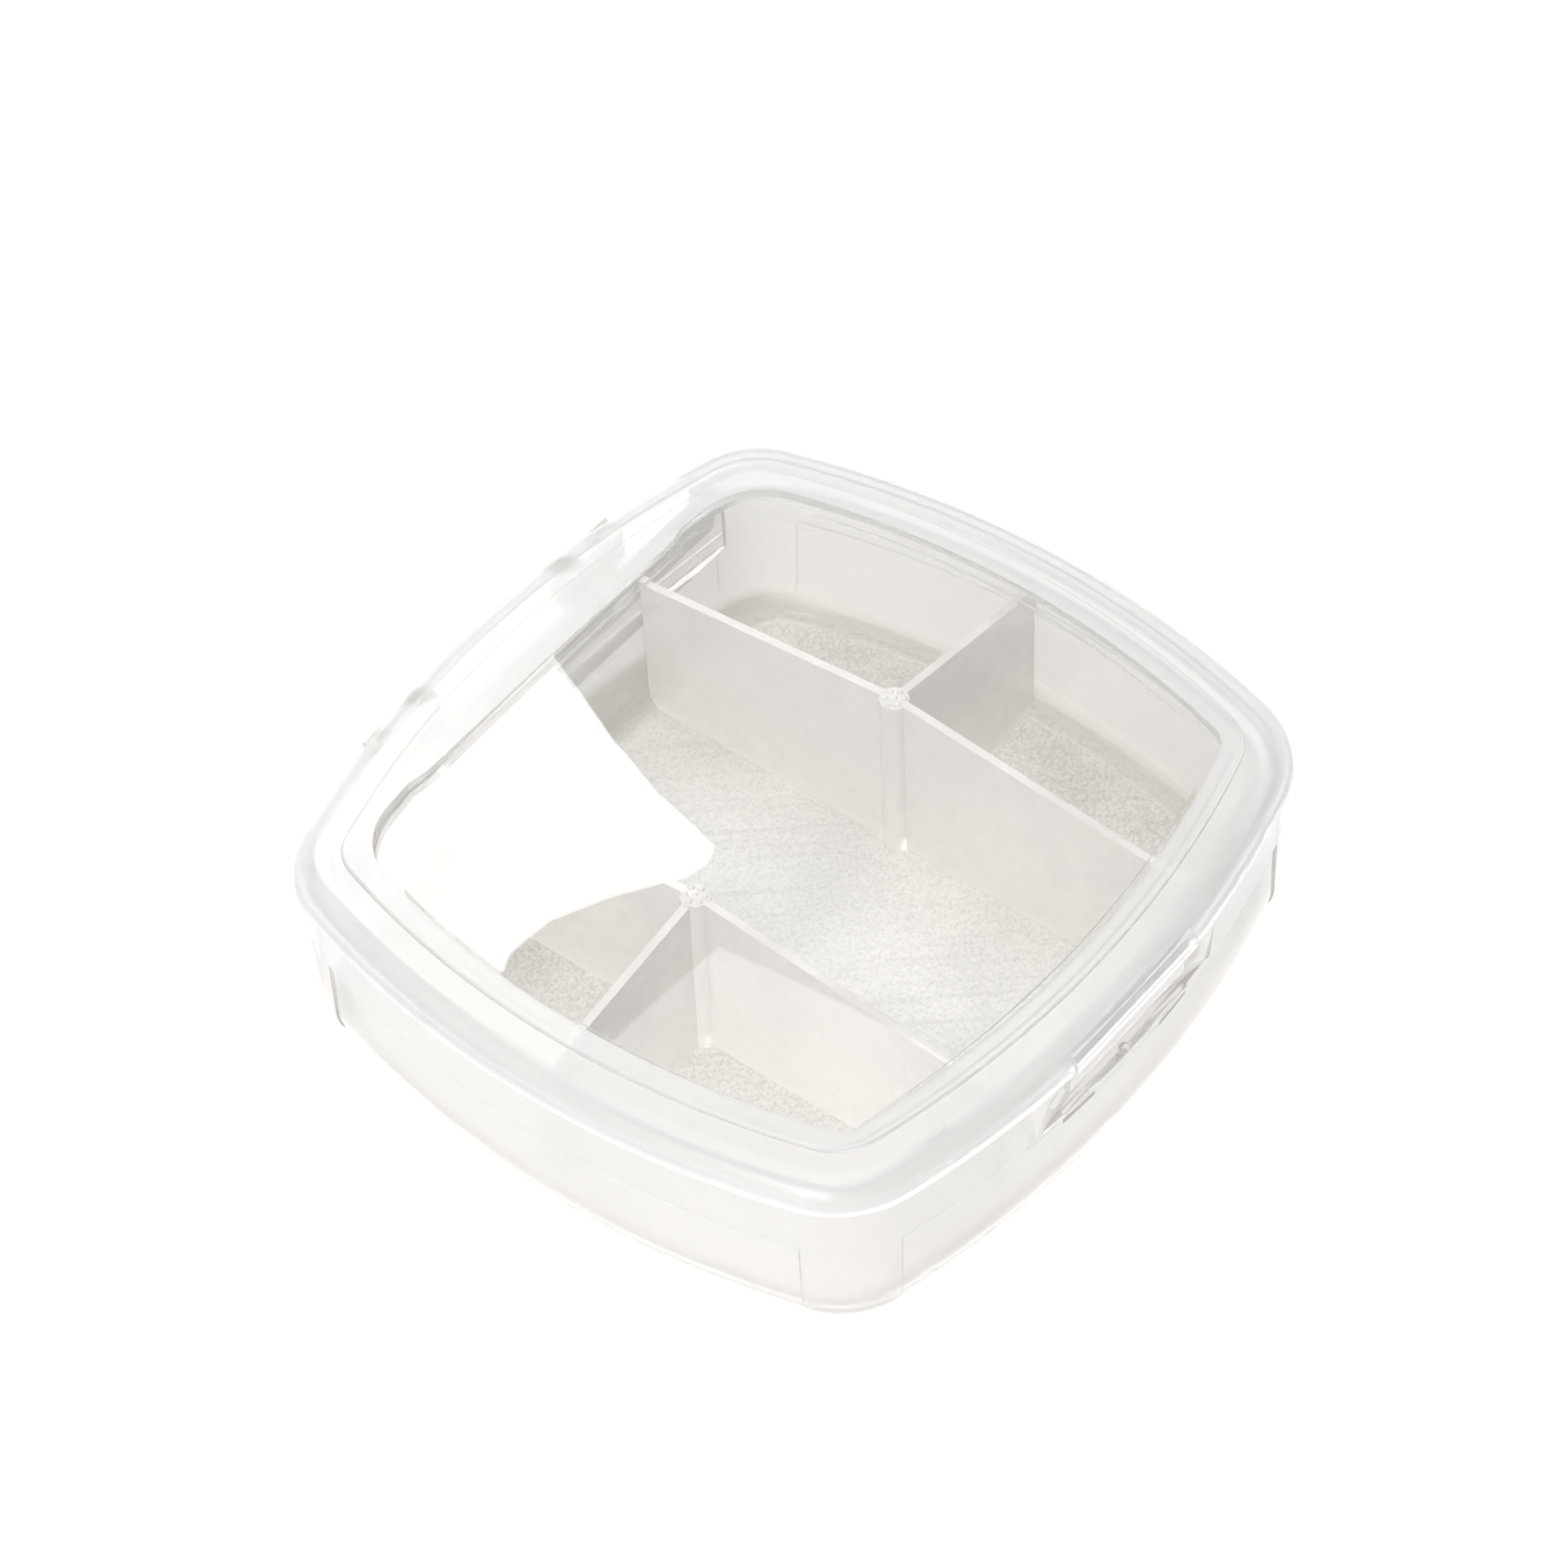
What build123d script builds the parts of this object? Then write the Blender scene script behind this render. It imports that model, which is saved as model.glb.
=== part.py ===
from build123d import *
import math
import os

# Clear moulded-plastic sample box: a bowed-sided square base with a
# compartment tray inside, and a hinged lid with a clear window panel.
# Origin: bottom centre. +Z up, -Y is the latch side, +Y the hinge side.

# ---------------------------------------------------------------- dimensions
HALF_X = 44.0          # half width of the lid outline at y = 0
HALF_Y = 42.5          # half depth of the lid outline at x = 0
BOW_X = 106.0          # radius of the bowed left and right sides
BOW_FRONT = 119.0      # radius of the bowed latch side
BOW_BACK = 117.8       # radius of the bowed hinge side
CORNER_FRONT = 11.8    # corner radius on the latch side
CORNER_BACK = 9.6      # corner radius on the hinge side

STEP_Z = 14.0          # thin step line round the base wall
RIM_Z = 20.5           # top of the base rim
SEAM_Z = 20.75         # lower edge of the lid
BAND_Z = 24.4          # top of the lid band's shoulder
LIP_Z = 24.9           # top of the raised lip round the window
CROWN_Z = 25.9         # centre of the crowned window
CROWN_R = 470.0        # radius of the window's crown
PANEL_T = 0.9          # window thickness

BASE_FLOOR = 1.0       # thickness of the base floor
BASE_ROUND = 6.0       # rounding under the base wall
OVERHANG = 0.6         # lid outline beyond the base rim

TRAY_UNDER = 1.1       # underside of the tray floor
TRAY_FLOOR = 2.0       # top of the tray floor
TRAY_TOP = 20.3        # top of the tray wall
TRAY_WALL = 1.0        # tray wall thickness
TRAY_DRAFT = 0.9       # draft of the tray wall, degrees

DIV_X = 16.3           # divider planes
DIV_T = 0.9            # divider thickness
DIV_TOP = 24.35        # top edge of the dividers at the post
DIV_END = 20.7         # top edge of the dividers at the tray wall
POST_R = 1.55          # round post where the dividers meet
POST_TOP = 24.2

HINGE_Y = 39.6         # hinge axis
HINGE_Z = 18.8
PIN_R = 0.75
KNUCKLE_R = 1.5
TROUGH_R = 3.8         # clearance trough behind the hinge axis

POCKET_X = 15.5        # half length of the thumb pocket
POCKET_Z = 14.3        # ledge at the foot of the pocket
TONGUE_X = 10.0        # half length of the latch tongue

os.makedirs("parts", exist_ok=True)


# ------------------------------------------------------------------ outlines
def meet(c0, r0, c1, r1, sx, sy):
    """Crossing of two circles, on the side given by the signs."""
    dx, dy = c1[0] - c0[0], c1[1] - c0[1]
    d = math.hypot(dx, dy)
    a = (r0 * r0 - r1 * r1 + d * d) / (2 * d)
    h = math.sqrt(r0 * r0 - a * a)
    mx, my = c0[0] + a * dx / d, c0[1] + a * dy / d
    both = [(mx - h * dy / d, my + h * dx / d), (mx + h * dy / d, my - h * dx / d)]
    return max(both, key=lambda p: p[0] * sx + p[1] * sy)


def bowed(z, hx, hf, hb, rx, rf, rb, cf, cb):
    """Bowed rounded square on the plane at height z."""
    side = (hx - rx, 0.0)
    front = meet(side, rx, (0.0, rf - hf), rf, 1, -1)
    back = meet(side, rx, (0.0, hb - rb), rb, 1, 1)
    with BuildSketch(Plane.XY.offset(z)) as sk:
        with BuildLine():
            ThreePointArc((-front[0], front[1]), (0, -hf), front)
            ThreePointArc(front, (hx, 0), back)
            ThreePointArc(back, (0, hb), (-back[0], back[1]))
            ThreePointArc((-back[0], back[1]), (-hx, 0), (-front[0], front[1]))
        make_face()
        corners = sk.vertices().sort_by(Axis.Y)
        fillet(corners[:2], cf)
        fillet(sk.vertices().sort_by(lambda v: abs(v.X) - 0.0).group_by(Axis.Y)[-1], cb)
    return sk.sketch


def outline(z, inset):
    """Outline of the box, moved inwards by inset."""
    return bowed(z, HALF_X - inset, HALF_Y - inset, HALF_Y - inset,
                 BOW_X - inset, BOW_FRONT - inset, BOW_BACK - inset,
                 max(CORNER_FRONT - inset, 1.0), max(CORNER_BACK - inset, 1.0))


def tray_outline(z, inset):
    """Mouth of the tray, moved inwards by inset. The hinge side is straight."""
    return bowed(z, 39.8 - inset, 38.0 - inset, 33.35 - inset,
                 101.8 - inset, 114.5 - inset, 2000.0 - inset,
                 max(7.5 - inset, 1.0), max(9.0 - inset, 1.0))


def window(z, inset):
    """Outline of the window, moved inwards by inset.
    The hinge side is set in a little over its middle stretch."""
    sk0 = bowed(z, 36.3 - inset, 35.1 - inset, 33.3 - inset,
                100.0 - inset, 110.0 - inset, 260.0 - inset,
                max(3.2 - inset, 0.8), max(8.0 - inset, 1.0))
    with BuildSketch(Plane.XY.offset(z)) as sk:
        add(sk0)
        with BuildLine():
            Polyline((-25.5, 40), (-25.5, 33.1 - inset), (-20, 31.9 - inset),
                     (20, 31.9 - inset), (25.5, 33.1 - inset), (25.5, 40), close=True)
        make_face(mode=Mode.SUBTRACT)
        bend = [v for v in sk.vertices() if abs(abs(v.X) - 20) < 0.3 and v.Y > 25]
        fillet(bend, 7.0)
    return sk.sketch


# --------------------------------------------------------------- base shell
def base_body(grow):
    """Outer body of the base below the step line: drafted and rounded."""
    with BuildPart() as body:
        loft([outline(0, 1.5 - grow), outline(STEP_Z, 1.15 - grow)], ruled=True)
        fillet(body.faces().sort_by(Axis.Z)[0].edges(), BASE_ROUND)
    return body.part


with BuildPart() as base_cavity:
    loft([outline(BASE_FLOOR, 2.75), outline(RIM_Z + 1, 1.96)], ruled=True)
    fillet(base_cavity.faces().sort_by(Axis.Z)[0].edges(), BASE_ROUND - 1.6)

with BuildPart() as corner_pads:
    add(base_body(0.22))
    with Locations((0, 0, STEP_Z / 2)):
        Box(63, 120, STEP_Z + 1, mode=Mode.SUBTRACT)
        Box(120, 60, STEP_Z + 1, mode=Mode.SUBTRACT)

with BuildPart() as base_shell:
    add(base_body(0.0))
    add(corner_pads.part)
    loft([outline(STEP_Z, 0.85), outline(RIM_Z, OVERHANG)], ruled=True)
    add(base_cavity.part, mode=Mode.SUBTRACT)
    # block behind the hinge trough
    with BuildSketch(Plane.XY.offset(13.0)):
        add(outline(0, 1.5))
        with Locations((0, 44.6)):
            Rectangle(62.4, 20, mode=Mode.INTERSECT)
    extrude(amount=RIM_Z - 13.0)
    # wall behind the thumb pocket
    with BuildSketch(Plane.XY.offset(12.6)):
        add(outline(0, 1.5))
        with Locations((0, -49.3)):
            Rectangle(2 * POCKET_X + 5, 20, mode=Mode.INTERSECT)
    extrude(amount=RIM_Z - 12.6)
    # hinge trough: room for the lid's rear edge to swing down
    with BuildSketch(Plane.YZ.offset(-30)):
        with Locations((HINGE_Y, HINGE_Z)):
            Circle(TROUGH_R)
        with Locations((HINGE_Y + 5, 19.0)):
            Rectangle(10, 9.6)
    extrude(amount=60, mode=Mode.SUBTRACT)
    # hinge ears
    for x in (-16.6, 13.2):
        with BuildSketch(Plane.YZ.offset(x)):
            with Locations((HINGE_Y, HINGE_Z)):
                Circle(KNUCKLE_R)
            with BuildLine():
                Polyline((35.3, 19.9), (HINGE_Y, HINGE_Z + KNUCKLE_R),
                         (HINGE_Y, HINGE_Z - KNUCKLE_R), (38.3, 15.4), (35.3, 14.4), close=True)
            make_face()
            with Locations((HINGE_Y, HINGE_Z)):
                Circle(PIN_R + 0.02, mode=Mode.SUBTRACT)
        extrude(amount=3.4)
    # thumb pocket: a lens-shaped recess with a ledge at its foot
    with BuildSketch(Plane.XY.offset(POCKET_Z)):
        with BuildLine():
            ThreePointArc((-POCKET_X, -40.9), (0, -39.7), (POCKET_X, -40.9))
            Polyline((POCKET_X, -40.9), (POCKET_X + 0.4, -44), (-POCKET_X - 0.4, -44), (-POCKET_X, -40.9))
        make_face()
    extrude(amount=8, mode=Mode.SUBTRACT)
    # two slots along the ledge, either side of a small nub
    with BuildSketch(Plane.XY.offset(POCKET_Z - 1.6)):
        with Locations((-5.65, -40.9), (5.65, -40.9)):
            RectangleRounded(9.3, 0.6, 0.2)
    extrude(amount=3, mode=Mode.SUBTRACT)
    with Locations((0, -40.85, POCKET_Z)):
        Sphere(0.6)
    # catch ridge behind the latch tongue
    with BuildSketch(Plane.YZ.offset(-8)):
        with BuildLine():
            Polyline((-39.4, 19.5), (-40.1, 19.2), (-40.1, 18.7), (-39.4, 18.3), close=True)
        make_face()
    extrude(amount=16)

base_shell.part.label = "base_shell"

# ---------------------------------------------------------- compartment tray
def tray_space(inset, floor, top, radius):
    """Space inside the tray: drafted walls with a rounded foot."""
    low = (TRAY_TOP - floor) * math.tan(math.radians(TRAY_DRAFT))
    with BuildPart() as space:
        loft([tray_outline(floor, low + inset), tray_outline(TRAY_TOP, inset)], ruled=True)
        fillet(space.faces().sort_by(Axis.Z)[0].edges(), radius)
        if top > TRAY_TOP:
            extrude(tray_outline(TRAY_TOP, inset), amount=top - TRAY_TOP)
    return space.part


with BuildPart() as compartment_tray:
    add(tray_space(-TRAY_WALL, TRAY_UNDER, TRAY_TOP, 3.3))
    add(tray_space(0.0, TRAY_FLOOR, TRAY_TOP + 1, 2.2), mode=Mode.SUBTRACT)

compartment_tray.part.label = "compartment_tray"

# ------------------------------------------------------------------ dividers
with BuildPart() as divider_right:
    # long wall, its top falling away from the post to both ends
    with BuildSketch(Plane.YZ.offset(DIV_X - DIV_T / 2)):
        with BuildLine():
            Polyline((-41, 2.06), (36, 2.06), (36, DIV_END), (33.2, DIV_END), (0, DIV_TOP),
                     (-38, DIV_END), (-41, DIV_END), close=True)
        make_face()
    extrude(amount=DIV_T)
    # cross wall from the post to the tray wall
    with BuildSketch(Plane.XZ.offset(-DIV_T / 2)):
        with BuildLine():
            Polyline((DIV_X, 2.06), (42, 2.06), (42, DIV_END - 0.2), (38, DIV_END - 0.2),
                     (DIV_X, DIV_TOP - 0.15), close=True)
        make_face()
    extrude(amount=DIV_T)
    # round post with a low crown of small bumps
    with BuildSketch(Plane.XY.offset(2.06)):
        with Locations((DIV_X, 0)):
            Circle(POST_R)
    extrude(amount=POST_TOP - 2.06)
    with Locations(Location((DIV_X, 0, POST_TOP - 0.12))):
        with PolarLocations(1.0, 6):
            Sphere(0.42)
        Sphere(0.45)
    add(tray_space(0.12, TRAY_FLOOR + 0.06, 26.0, 2.15), mode=Mode.INTERSECT)

divider_right.part.label = "divider_right"

with BuildPart() as divider_left:
    add(divider_right.part)
    mirror(about=Plane.YZ, mode=Mode.REPLACE)

divider_left.part.label = "divider_left"

# ----------------------------------------------------------------- lid frame
with BuildPart() as lid_hollow:
    extrude(outline(SEAM_Z - 2, 1.3), amount=23.2 - SEAM_Z + 2)
    fillet(lid_hollow.faces().sort_by(Axis.Z)[-1].edges(), 1.9)

with BuildPart() as lid_frame:
    extrude(outline(SEAM_Z, 0), amount=BAND_Z - SEAM_Z)
    fillet(lid_frame.faces().sort_by(Axis.Z)[-1].edges(), 2.9)
    chamfer(lid_frame.faces().sort_by(Axis.Z)[0].edges(), 0.22)
    # raised lip round the window
    with BuildSketch(Plane.XY.offset(BAND_Z - 0.4)):
        add(outline(0, 5.1))
    extrude(amount=LIP_Z - BAND_Z + 0.4)
    fillet(lid_frame.faces().sort_by(Axis.Z)[-1].edges(), 0.3)
    add(lid_hollow.part, mode=Mode.SUBTRACT)
    # window opening and the rebate for the panel's flange
    with BuildSketch(Plane.XY.offset(22.0)):
        add(window(0, 0))
    extrude(amount=4.0, mode=Mode.SUBTRACT)
    with BuildSketch(Plane.XY.offset(22.0)):
        add(window(0, -1.2))
    extrude(amount=1.8, mode=Mode.SUBTRACT)
    # hinge knuckles hanging from the band
    for x in (-19.6, -12.95, 10.2, 16.85):
        with BuildSketch(Plane.YZ.offset(x)):
            with Locations((HINGE_Y, HINGE_Z)):
                Circle(KNUCKLE_R)
            with Locations((39.56, 21.0)):
                Rectangle(2.5, 4.5)
            with Locations((HINGE_Y, HINGE_Z)):
                Circle(PIN_R + 0.05, mode=Mode.SUBTRACT)
        extrude(amount=2.75)
    # flat facet over the latch, its lower edge a little above the seam
    with BuildSketch(Plane.YZ.offset(-TONGUE_X)):
        with Locations((-43.5, 21.7)):
            Rectangle(3.8, 3.4)
        with Locations((-42.5, 20.25)):
            Rectangle(4, 2)
    extrude(amount=2 * TONGUE_X, mode=Mode.SUBTRACT)
    with BuildSketch(Plane.YZ.offset(-TONGUE_X)):
        with BuildLine():
            Polyline((-HALF_Y, 22.5), (-HALF_Y, 21.5), (-42.2, 21.25), (-40.8, 21.25),
                     (-40.8, 23.4), (-41.9, 23.4), close=True)
        make_face()
    extrude(amount=2 * TONGUE_X)
    # latch tongue behind the facet, with a small bead inside
    with BuildSketch(Plane.YZ.offset(-TONGUE_X + 0.5)):
        with BuildLine():
            Polyline((-41.2, 22.9), (-41.2, 17.3), (-41.0, 17.0), (-40.5, 17.0), (-40.35, 17.2),
                     (-40.35, 17.6), (-40.5, 17.9), (-40.5, 22.9), close=True)
        make_face()
    extrude(amount=2 * TONGUE_X - 1)

lid_frame.part.label = "lid_frame"

# ---------------------------------------------------------------- lid window
with BuildPart() as panel_rim:
    with BuildSketch(Plane.XY.offset(23.2)):
        add(window(0, 0.12))
        add(window(0, 1.0), mode=Mode.SUBTRACT)
    extrude(amount=2.0)
    with Locations((0, -0.9, CROWN_Z - CROWN_R)):
        Sphere(CROWN_R - 0.05, mode=Mode.INTERSECT)

with BuildPart() as lid_window:
    with BuildSketch(Plane.XY.offset(22.2)):
        add(window(0, 0.12))
    extrude(amount=4.5)
    with Locations((0, -0.9, CROWN_Z - CROWN_R)):
        Sphere(CROWN_R, mode=Mode.INTERSECT)
        Sphere(CROWN_R - PANEL_T, mode=Mode.SUBTRACT)
    # downward rim along the edge, and the flange that sits in the rebate
    add(panel_rim.part)
    with BuildSketch(Plane.XY.offset(23.2)):
        add(window(0, -1.05))
        add(window(0, 0.6), mode=Mode.SUBTRACT)
    extrude(amount=0.58)

lid_window.part.label = "lid_window"

# ---------------------------------------------------------------- hinge pins
with BuildPart() as hinge_pin_right:
    with BuildSketch(Plane.YZ.offset(10.25)):
        with Locations((HINGE_Y, HINGE_Z)):
            Circle(PIN_R)
    extrude(amount=9.3)
    chamfer(hinge_pin_right.edges(), 0.12)

hinge_pin_right.part.label = "hinge_pin_right"

with BuildPart() as hinge_pin_left:
    add(hinge_pin_right.part)
    mirror(about=Plane.YZ, mode=Mode.REPLACE)

hinge_pin_left.part.label = "hinge_pin_left"

# -------------------------------------------------------------------- export
for piece in (base_shell, compartment_tray, divider_right, divider_left,
              lid_frame, lid_window, hinge_pin_right, hinge_pin_left):
    print(piece.part.label, len(piece.part.solids()), round(piece.part.volume, 1))
    export_step(piece.part, "parts/" + piece.part.label + ".step")
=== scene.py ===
import bpy, math
from mathutils import Vector, Matrix

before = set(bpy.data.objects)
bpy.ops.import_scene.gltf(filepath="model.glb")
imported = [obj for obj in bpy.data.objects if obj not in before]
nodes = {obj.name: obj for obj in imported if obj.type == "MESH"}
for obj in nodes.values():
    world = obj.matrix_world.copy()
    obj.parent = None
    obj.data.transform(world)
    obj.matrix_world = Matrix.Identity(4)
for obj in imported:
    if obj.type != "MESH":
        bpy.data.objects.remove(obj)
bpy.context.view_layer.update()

PANE = 6.5          # brightness of the window light

# ------------------------------------------------------------------ helpers
def new_mat(name):
    m = bpy.data.materials.new(name)
    m.use_nodes = True
    nt = m.node_tree
    for n in list(nt.nodes):
        nt.nodes.remove(n)
    return m, nt

def node(nt, kind, x=0, y=0, **inputs):
    n = nt.nodes.new(kind)
    n.location = (x, y)
    for k, v in inputs.items():
        n.inputs[k.replace("_", " ")].default_value = v
    return n

def clear_plastic(name, colour, rough, milk=0.0, bump=0.02, wave=26.0, floor_z=None,
                  floor_rough=0.45, floor_colour=None, floor_milk=0.5, tint=0.965, mid_painted_light=None,
                  depth=0.0, cloud=0.0, foot_shade=0.0, edge_milk=0.0):
    """Clear moulded plastic: real refraction, a little milkiness, faint flow
    marks, and a finely frosted floor up to floor_z where given."""
    m, nt = new_mat(name)
    L = nt.links.new
    out = node(nt, "ShaderNodeOutputMaterial", 1300)
    geo = node(nt, "ShaderNodeTexCoord", -1300)
    bsdf = node(nt, "ShaderNodeBsdfPrincipled", 700)
    bsdf.inputs["Base Color"].default_value = (*colour, 1)
    bsdf.inputs["Roughness"].default_value = rough
    bsdf.inputs["IOR"].default_value = 1.50
    bsdf.inputs["Transmission Weight"].default_value = 1.0 - milk
    # slow flow marks of the moulding, and fine polish marks
    n1 = node(nt, "ShaderNodeTexNoise", -900, 200)
    n1.inputs["Scale"].default_value = wave
    n1.inputs["Detail"].default_value = 3.0
    L(geo.outputs["Object"], n1.inputs["Vector"])
    b1 = node(nt, "ShaderNodeBump", 400, -200)
    b1.inputs["Strength"].default_value = 0.3
    b1.inputs["Distance"].default_value = bump * 0.001
    L(n1.outputs["Fac"], b1.inputs["Height"])
    L(b1.outputs["Normal"], bsdf.inputs["Normal"])
    # roughness is a little uneven over the moulded surface
    n3 = node(nt, "ShaderNodeTexNoise", -900, 500)
    n3.inputs["Scale"].default_value = 60.0
    n3.inputs["Detail"].default_value = 5.0
    L(geo.outputs["Object"], n3.inputs["Vector"])
    ru = node(nt, "ShaderNodeMapRange", -600, 500)
    ru.inputs["From Min"].default_value = 0.3
    ru.inputs["From Max"].default_value = 0.7
    ru.inputs["To Min"].default_value = max(rough - 0.02, 0.0)
    ru.inputs["To Max"].default_value = rough + 0.03
    L(n3.outputs["Fac"], ru.inputs["Value"])
    L(ru.outputs["Result"], bsdf.inputs["Roughness"])
    if edge_milk:
        # the panel's upright edge and rim are matt where they are set into the frame
        en = node(nt, "ShaderNodeSeparateXYZ", -900, 1500)
        L(geo.outputs["Normal"], en.inputs["Vector"])
        ea = node(nt, "ShaderNodeMath", -700, 1500)
        ea.operation = "ABSOLUTE"
        L(en.outputs["Z"], ea.inputs[0])
        ew = node(nt, "ShaderNodeMapRange", -300, 1500)
        ew.inputs["From Min"].default_value = 0.75
        ew.inputs["From Max"].default_value = 0.45
        ew.inputs["To Min"].default_value = 1.0 - milk
        ew.inputs["To Max"].default_value = 1.0 - edge_milk
        L(ea.outputs[0], ew.inputs["Value"])
        L(ew.outputs["Result"], bsdf.inputs["Transmission Weight"])
        er = node(nt, "ShaderNodeMapRange", -300, 1750)
        er.inputs["From Min"].default_value = 0.75
        er.inputs["From Max"].default_value = 0.45
        er.inputs["To Min"].default_value = rough
        er.inputs["To Max"].default_value = 0.3
        L(ea.outputs[0], er.inputs["Value"])
        L(er.outputs["Result"], bsdf.inputs["Roughness"])
    if cloud:
        # soft uneven haze left by the moulding
        cn = node(nt, "ShaderNodeTexNoise", -600, 900)
        cn.inputs["Scale"].default_value = 85.0
        cn.inputs["Detail"].default_value = 1.5
        L(geo.outputs["Object"], cn.inputs["Vector"])
        ch = node(nt, "ShaderNodeValToRGB", -300, 900)
        ch.color_ramp.elements[0].position = 0.36
        ch.color_ramp.elements[0].color = (*[c * (1 - cloud) for c in colour], 1)
        ch.color_ramp.elements[1].position = 0.62
        ch.color_ramp.elements[1].color = (*colour, 1)
        L(cn.outputs["Fac"], ch.inputs["Fac"])
        L(ch.outputs["Color"], bsdf.inputs["Base Color"])
        cw = node(nt, "ShaderNodeMapRange", -300, 1200)
        cw.inputs["From Min"].default_value = 0.36
        cw.inputs["From Max"].default_value = 0.62
        cw.inputs["To Min"].default_value = 1.0 - milk * 1.25
        cw.inputs["To Max"].default_value = 1.0 - milk * 0.75
        L(cn.outputs["Fac"], cw.inputs["Value"])
        L(cw.outputs["Result"], bsdf.inputs["Transmission Weight"])
    if floor_z is not None:
        sep = node(nt, "ShaderNodeSeparateXYZ", -1100, -300)
        L(geo.outputs["Object"], sep.inputs["Vector"])
        mask = node(nt, "ShaderNodeMapRange", -900, -300)
        mask.inputs["From Min"].default_value = floor_z + 0.0004
        mask.inputs["From Max"].default_value = floor_z + 0.0001
        L(sep.outputs["Z"], mask.inputs["Value"])
        g = node(nt, "ShaderNodeTexNoise", -900, -600)
        g.inputs["Scale"].default_value = 2400.0
        g.inputs["Detail"].default_value = 4.0
        g.inputs["Roughness"].default_value = 0.75
        L(geo.outputs["Object"], g.inputs["Vector"])
        soft = node(nt, "ShaderNodeTexNoise", -900, -900)
        soft.inputs["Scale"].default_value = 55.0
        soft.inputs["Detail"].default_value = 2.0
        L(geo.outputs["Object"], soft.inputs["Vector"])
        rr = node(nt, "ShaderNodeMix", -300, -300)
        rr.data_type = "FLOAT"
        L(mask.outputs["Result"], rr.inputs["Factor"])
        L(ru.outputs["Result"], rr.inputs["A"])
        rr.inputs["B"].default_value = floor_rough
        L(rr.outputs["Result"], bsdf.inputs["Roughness"])
        t = floor_colour or colour
        cr = node(nt, "ShaderNodeValToRGB", -600, -600)
        cr.color_ramp.elements[0].position = 0.38
        cr.color_ramp.elements[0].color = (t[0] * 0.70, t[1] * 0.69, t[2] * 0.68, 1)
        cr.color_ramp.elements[1].position = 0.60
        cr.color_ramp.elements[1].color = (*t, 1)
        L(g.outputs["Fac"], cr.inputs["Fac"])
        grain = cr.outputs["Color"]
        if mid_painted_light is not None:
            # painted light: the middle compartment's floor is painted paler than the side ones, standing in for the
            # light and shade that differ between the floors
            ab = node(nt, "ShaderNodeMath", -900, -1200)
            ab.operation = "ABSOLUTE"
            L(sep.outputs["X"], ab.inputs[0])
            mm = node(nt, "ShaderNodeMapRange", -600, -1200)
            mm.inputs["From Min"].default_value = 0.0166
            mm.inputs["From Max"].default_value = 0.0160
            L(ab.outputs[0], mm.inputs["Value"])
            cm = node(nt, "ShaderNodeValToRGB", -600, -1400)
            cm.color_ramp.elements[0].position = 0.36
            cm.color_ramp.elements[0].color = (mid_painted_light[0] * 0.80, mid_painted_light[1] * 0.80, mid_painted_light[2] * 0.795, 1)
            cm.color_ramp.elements[1].position = 0.56
            cm.color_ramp.elements[1].color = (*mid_painted_light, 1)
            L(g.outputs["Fac"], cm.inputs["Fac"])
            mc = node(nt, "ShaderNodeMix", -450, -900)
            mc.data_type = "RGBA"
            L(mm.outputs["Result"], mc.inputs["Factor"])
            L(cr.outputs["Color"], mc.inputs["A"])
            L(cm.outputs["Color"], mc.inputs["B"])
            grain = mc.outputs["Result"]
            # long faint rub marks across the floors
            mr = node(nt, "ShaderNodeMapping", -1300, -1700)
            mr.inputs["Rotation"].default_value = (0, 0, 0.84)
            L(geo.outputs["Object"], mr.inputs["Vector"])
            mp = node(nt, "ShaderNodeMapping", -1100, -1700)
            mp.inputs["Scale"].default_value = (40.0, 1300.0, 40.0)
            L(mr.outputs["Vector"], mp.inputs["Vector"])
            st = node(nt, "ShaderNodeTexNoise", -900, -1700)
            st.inputs["Scale"].default_value = 1.0
            st.inputs["Detail"].default_value = 3.0
            L(mp.outputs["Vector"], st.inputs["Vector"])
            sr = node(nt, "ShaderNodeValToRGB", -600, -1700)
            sr.color_ramp.elements[0].position = 0.30
            sr.color_ramp.elements[0].color = (0.915, 0.915, 0.91, 1)
            sr.color_ramp.elements[1].position = 0.48
            sr.color_ramp.elements[1].color = (1, 1, 1, 1)
            L(st.outputs["Fac"], sr.inputs["Fac"])
            sm = node(nt, "ShaderNodeMix", -300, -1500)
            sm.data_type = "RGBA"
            sm.blend_type = "MULTIPLY"
            sm.inputs["Factor"].default_value = 1.0
            L(grain, sm.inputs["A"])
            L(sr.outputs["Color"], sm.inputs["B"])
            grain = sm.outputs["Result"]
        cs = node(nt, "ShaderNodeValToRGB", -600, -900)
        cs.color_ramp.elements[0].position = 0.35
        cs.color_ramp.elements[0].color = (0.9, 0.9, 0.9, 1)
        cs.color_ramp.elements[1].position = 0.65
        cs.color_ramp.elements[1].color = (1, 1, 1, 1)
        L(soft.outputs["Fac"], cs.inputs["Fac"])
        mu = node(nt, "ShaderNodeMix", -300, -750)
        mu.data_type = "RGBA"
        mu.blend_type = "MULTIPLY"
        mu.inputs["Factor"].default_value = 1.0
        L(grain, mu.inputs["A"])
        L(cs.outputs["Color"], mu.inputs["B"])
        mix = node(nt, "ShaderNodeMix", 0, -450)
        mix.data_type = "RGBA"
        mix.inputs["A"].default_value = (*colour, 1)
        L(mask.outputs["Result"], mix.inputs["Factor"])
        L(mu.outputs["Result"], mix.inputs["B"])
        L(mix.outputs["Result"], bsdf.inputs["Base Color"])
        tw = node(nt, "ShaderNodeMapRange", -300, -1100)
        tw.inputs["To Min"].default_value = 1.0 - milk
        tw.inputs["To Max"].default_value = 1.0 - floor_milk
        L(mask.outputs["Result"], tw.inputs["Value"])
        L(tw.outputs["Result"], bsdf.inputs["Transmission Weight"])
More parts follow.
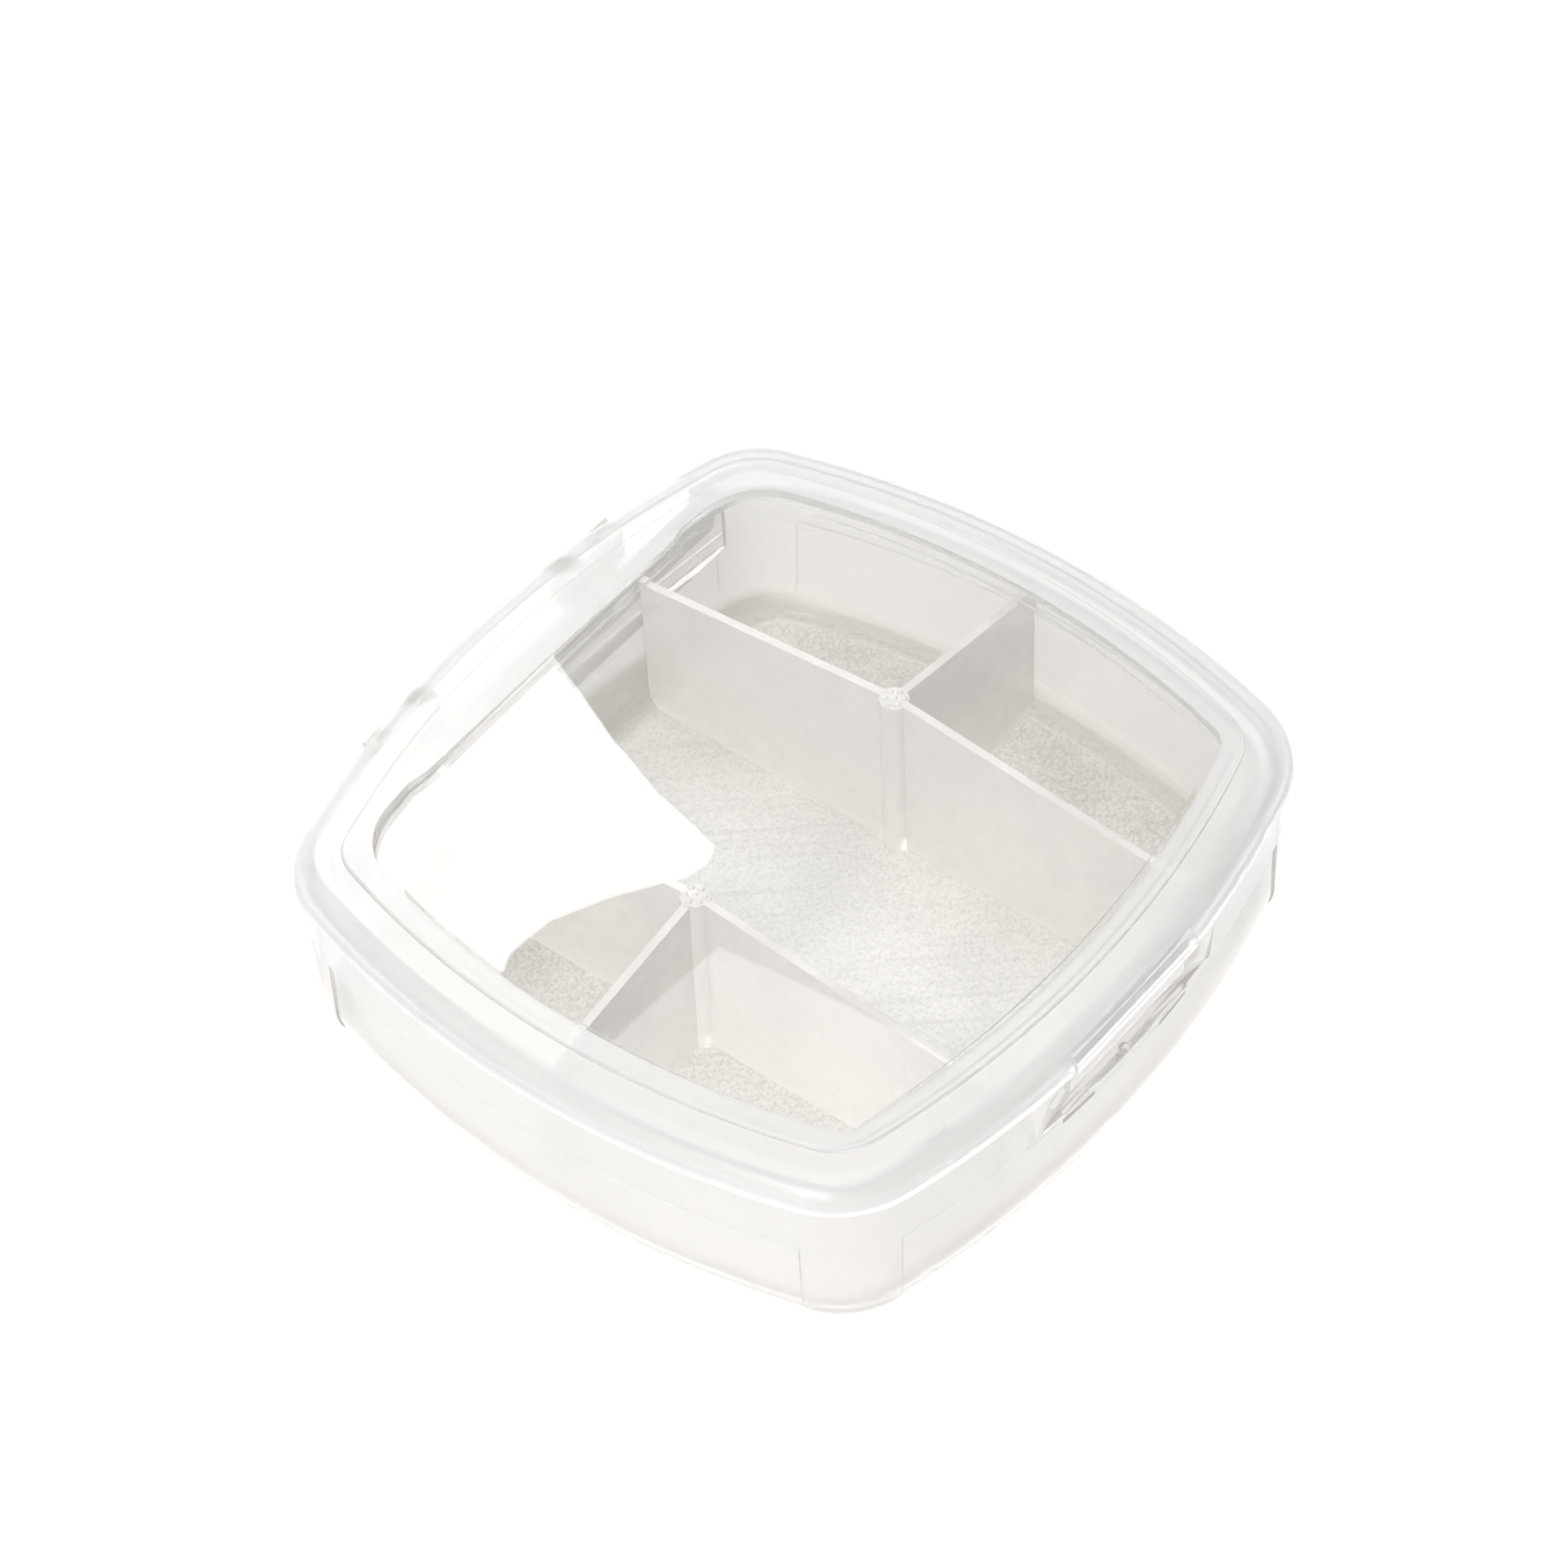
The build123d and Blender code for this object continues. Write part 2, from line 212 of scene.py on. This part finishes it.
        b2 = node(nt, "ShaderNodeBump", 550, -350)
        b2.inputs["Distance"].default_value = 0.00005
        L(mask.outputs["Result"], b2.inputs["Strength"])
        L(g.outputs["Fac"], b2.inputs["Height"])
        L(b1.outputs["Normal"], b2.inputs["Normal"])
        L(b2.outputs["Normal"], bsdf.inputs["Normal"])
        if foot_shade:
            # painted shade: the foot rounding is darkened towards the bottom, standing in for the contact shadow along
            # the foot's edge; it is also milkier and rougher there
            fz = node(nt, "ShaderNodeMapRange", -300, -2000)
            fz.inputs["From Min"].default_value = 0.0034
            fz.inputs["From Max"].default_value = 0.0022
            L(sep.outputs["Z"], fz.inputs["Value"])
            fc = node(nt, "ShaderNodeMix", 300, -450)
            fc.data_type = "RGBA"
            fc.blend_type = "MULTIPLY"
            L(fz.outputs["Result"], fc.inputs["Factor"])
            L(mix.outputs["Result"], fc.inputs["A"])
            fc.inputs["B"].default_value = (1 - foot_shade, 1 - foot_shade * 1.06, 1 - foot_shade * 1.12, 1)
            L(fc.outputs["Result"], bsdf.inputs["Base Color"])
            ft = node(nt, "ShaderNodeMapRange", 0, -2000)
            ft.inputs["To Min"].default_value = 1.0
            ft.inputs["To Max"].default_value = 0.25
            L(fz.outputs["Result"], ft.inputs["Value"])
            fm_ = node(nt, "ShaderNodeMath", 300, -1800)
            fm_.operation = "MULTIPLY"
            L(tw.outputs["Result"], fm_.inputs[0])
            L(ft.outputs["Result"], fm_.inputs[1])
            L(fm_.outputs[0], bsdf.inputs["Transmission Weight"])
            fr = node(nt, "ShaderNodeMix", 300, -150)
            fr.data_type = "FLOAT"
            L(fz.outputs["Result"], fr.inputs["Factor"])
            L(rr.outputs["Result"], fr.inputs["A"])
            fr.inputs["B"].default_value = 0.75
            L(fr.outputs["Result"], bsdf.inputs["Roughness"])
    # light passes the clear walls on its way to what lies inside
    tr = node(nt, "ShaderNodeBsdfTransparent", 700, -700)
    tr.inputs["Color"].default_value = (tint, tint * 0.995, tint * 0.985, 1)
    lp = node(nt, "ShaderNodeLightPath", 700, 400)
    ms = node(nt, "ShaderNodeMixShader", 1050)
    L(lp.outputs["Is Shadow Ray"], ms.inputs["Fac"])
    L(bsdf.outputs["BSDF"], ms.inputs[1])
    L(tr.outputs["BSDF"], ms.inputs[2])
    L(ms.outputs["Shader"], out.inputs["Surface"])
    if depth:
        # thick sections and edges look a little darker than thin walls
        va = node(nt, "ShaderNodeVolumeAbsorption", 1050, -300)
        va.inputs["Color"].default_value = (0.56, 0.50, 0.45, 1)
        va.inputs["Density"].default_value = depth
        L(va.outputs["Volume"], out.inputs["Volume"])
    return m

mats = {
    "base_shell": clear_plastic("base_plastic", (0.98, 0.975, 0.970), 0.06, milk=0.27, depth=40.0, foot_shade=0.42, bump=0.010, floor_z=0.0010,
                                floor_rough=0.3, floor_colour=(0.90, 0.893, 0.88), floor_milk=0.2),
    "compartment_tray": clear_plastic("tray_plastic", (0.98, 0.975, 0.970), 0.05, milk=0.24, depth=12.0, floor_z=0.0020,
                                      floor_rough=0.5, floor_colour=(0.975, 0.964, 0.955), floor_milk=0.5,
                                      mid_painted_light=(0.98, 0.976, 0.970)),
    "divider_right": clear_plastic("divider_plastic", (0.975, 0.961, 0.949), 0.05, milk=0.60, cloud=0.07),
    "lid_frame": clear_plastic("lid_plastic", (0.98, 0.976, 0.972), 0.20, milk=0.34, depth=30.0, bump=0.008, tint=0.95),
    "lid_window": clear_plastic("window_plastic", (0.985, 0.985, 0.98), 0.0, bump=0.004, tint=0.97, edge_milk=0.6),
    "hinge_pin_right": clear_plastic("pin_plastic", (0.9, 0.9, 0.88), 0.12, milk=0.4),
}
mats["divider_left"] = mats["divider_right"]
mats["hinge_pin_left"] = mats["hinge_pin_right"]
for name, obj in nodes.items():
    obj.data.materials.clear()
    obj.data.materials.append(mats[name])

# ------------------------------------------------------------------- studio
floor_mesh = bpy.data.meshes.new("floor")
S = 12.0
floor_mesh.from_pydata([(-S, -S, -0.0003), (S, -S, -0.0003), (S, S, -0.0003), (-S, S, -0.0003)], [], [(0, 1, 2, 3)])
floor = bpy.data.objects.new("floor", floor_mesh)
bpy.context.scene.collection.objects.link(floor)
fm, fnt = new_mat("floor_white")
fo = node(fnt, "ShaderNodeOutputMaterial", 400)
fb = node(fnt, "ShaderNodeBsdfPrincipled", 0)
fb.inputs["Base Color"].default_value = (0.93, 0.93, 0.93, 1)
fb.inputs["Roughness"].default_value = 0.9
fb.inputs["Specular IOR Level"].default_value = 0.0
fb.inputs["Emission Color"].default_value = (1, 1, 1, 1)
fb.inputs["Emission Strength"].default_value = 0.42
fnt.links.new(fb.outputs["BSDF"], fo.inputs["Surface"])
floor.data.materials.append(fm)

world = bpy.data.worlds.new("studio")
bpy.context.scene.world = world
world.use_nodes = True
wnt = world.node_tree
bg = wnt.nodes["Background"]
bg.inputs["Color"].default_value = (1, 1, 1, 1)
bg.inputs["Strength"].default_value = 0.43

def area(name, loc, target, sx, sy, power, colour=(1, 1, 1)):
    d = bpy.data.lights.new(name, "AREA")
    d.shape = "RECTANGLE"
    d.size, d.size_y, d.energy, d.color = sx, sy, power, colour
    o = bpy.data.objects.new(name, d)
    bpy.context.scene.collection.objects.link(o)
    o.location = loc
    o.rotation_euler = (Vector(target) - Vector(loc)).to_track_quat("-Z", "Y").to_euler()
    return o

# ------------------------------------------------------------------- camera
AZ, EL, ROLL = math.radians(-49.88), math.radians(48.61), math.radians(-2.84)
DIST, TARGET = 0.64296, Vector((0.00589, 0.00644, 0.0166))
back = Vector((math.sin(AZ) * math.cos(EL), -math.cos(AZ) * math.cos(EL), math.sin(EL)))
right0 = Vector((math.cos(AZ), math.sin(AZ), 0))
up0 = back.cross(right0)
right = math.cos(ROLL) * right0 + math.sin(ROLL) * up0
up = -math.sin(ROLL) * right0 + math.cos(ROLL) * up0
cam_data = bpy.data.cameras.new("camera")
cam_data.sensor_width = 36.0
cam_data.lens = 144.15
cam_data.clip_end = 20
cam = bpy.data.objects.new("camera", cam_data)
bpy.context.scene.collection.objects.link(cam)
cam.matrix_world = Matrix((
    (right.x, up.x, back.x, 0), (right.y, up.y, back.y, 0), (right.z, up.z, back.z, 0), (0, 0, 0, 1)))
cam.location = TARGET + back * DIST
bpy.context.scene.camera = cam

# the bright window light whose reflection lies on the lid's left part
mirror = Vector((0.4174, 0.5033, 0.7566))
lx, ly = Vector((0.7697, -0.6384, 0.0)), Vector((-0.4830, -0.5824, 0.6538))
spot = Vector((-0.01885, 0.01551, 0.02524))
pane = [(0.020, -0.190), (0.028, -0.127), (0.043, -0.062), (0.058, -0.016), (0.073, 0.015), (0.080, 0.031),
        (0.073, 0.042), (0.060, 0.048), (0.019, 0.051), (-0.017, 0.058), (-0.040, 0.073), (-0.049, 0.092),
        (-0.060, 0.150), (-0.190, 0.150), (-0.190, -0.190)]
pane_mesh = bpy.data.meshes.new("window_light")
pane_mesh.from_pydata([spot + mirror * 0.9 + lx * u + ly * v for u, v in pane], [], [tuple(range(len(pane)))])
pane_obj = bpy.data.objects.new("window_light", pane_mesh)
scene_col = bpy.context.scene.collection
scene_col.objects.link(pane_obj)
pm, pnt = new_mat("window_light")
po = node(pnt, "ShaderNodeOutputMaterial", 300)
pe = node(pnt, "ShaderNodeEmission", 0)
pe.inputs["Strength"].default_value = PANE
pnt.links.new(pe.outputs["Emission"], po.inputs["Surface"])
pane_mesh.materials.append(pm)
pane_obj.visible_shadow = False
area("overhead", (0.0, 0.0, 1.15), (0, 0, 0), 1.1, 1.1, 1.36 * math.pi * 1.21)
area("side_left", (-0.9, -0.25, 0.45), (0, 0, 0.01), 0.5, 0.5, 3.5 * math.pi * 0.25)

scene = bpy.context.scene
scene.view_settings.view_transform = "Standard"
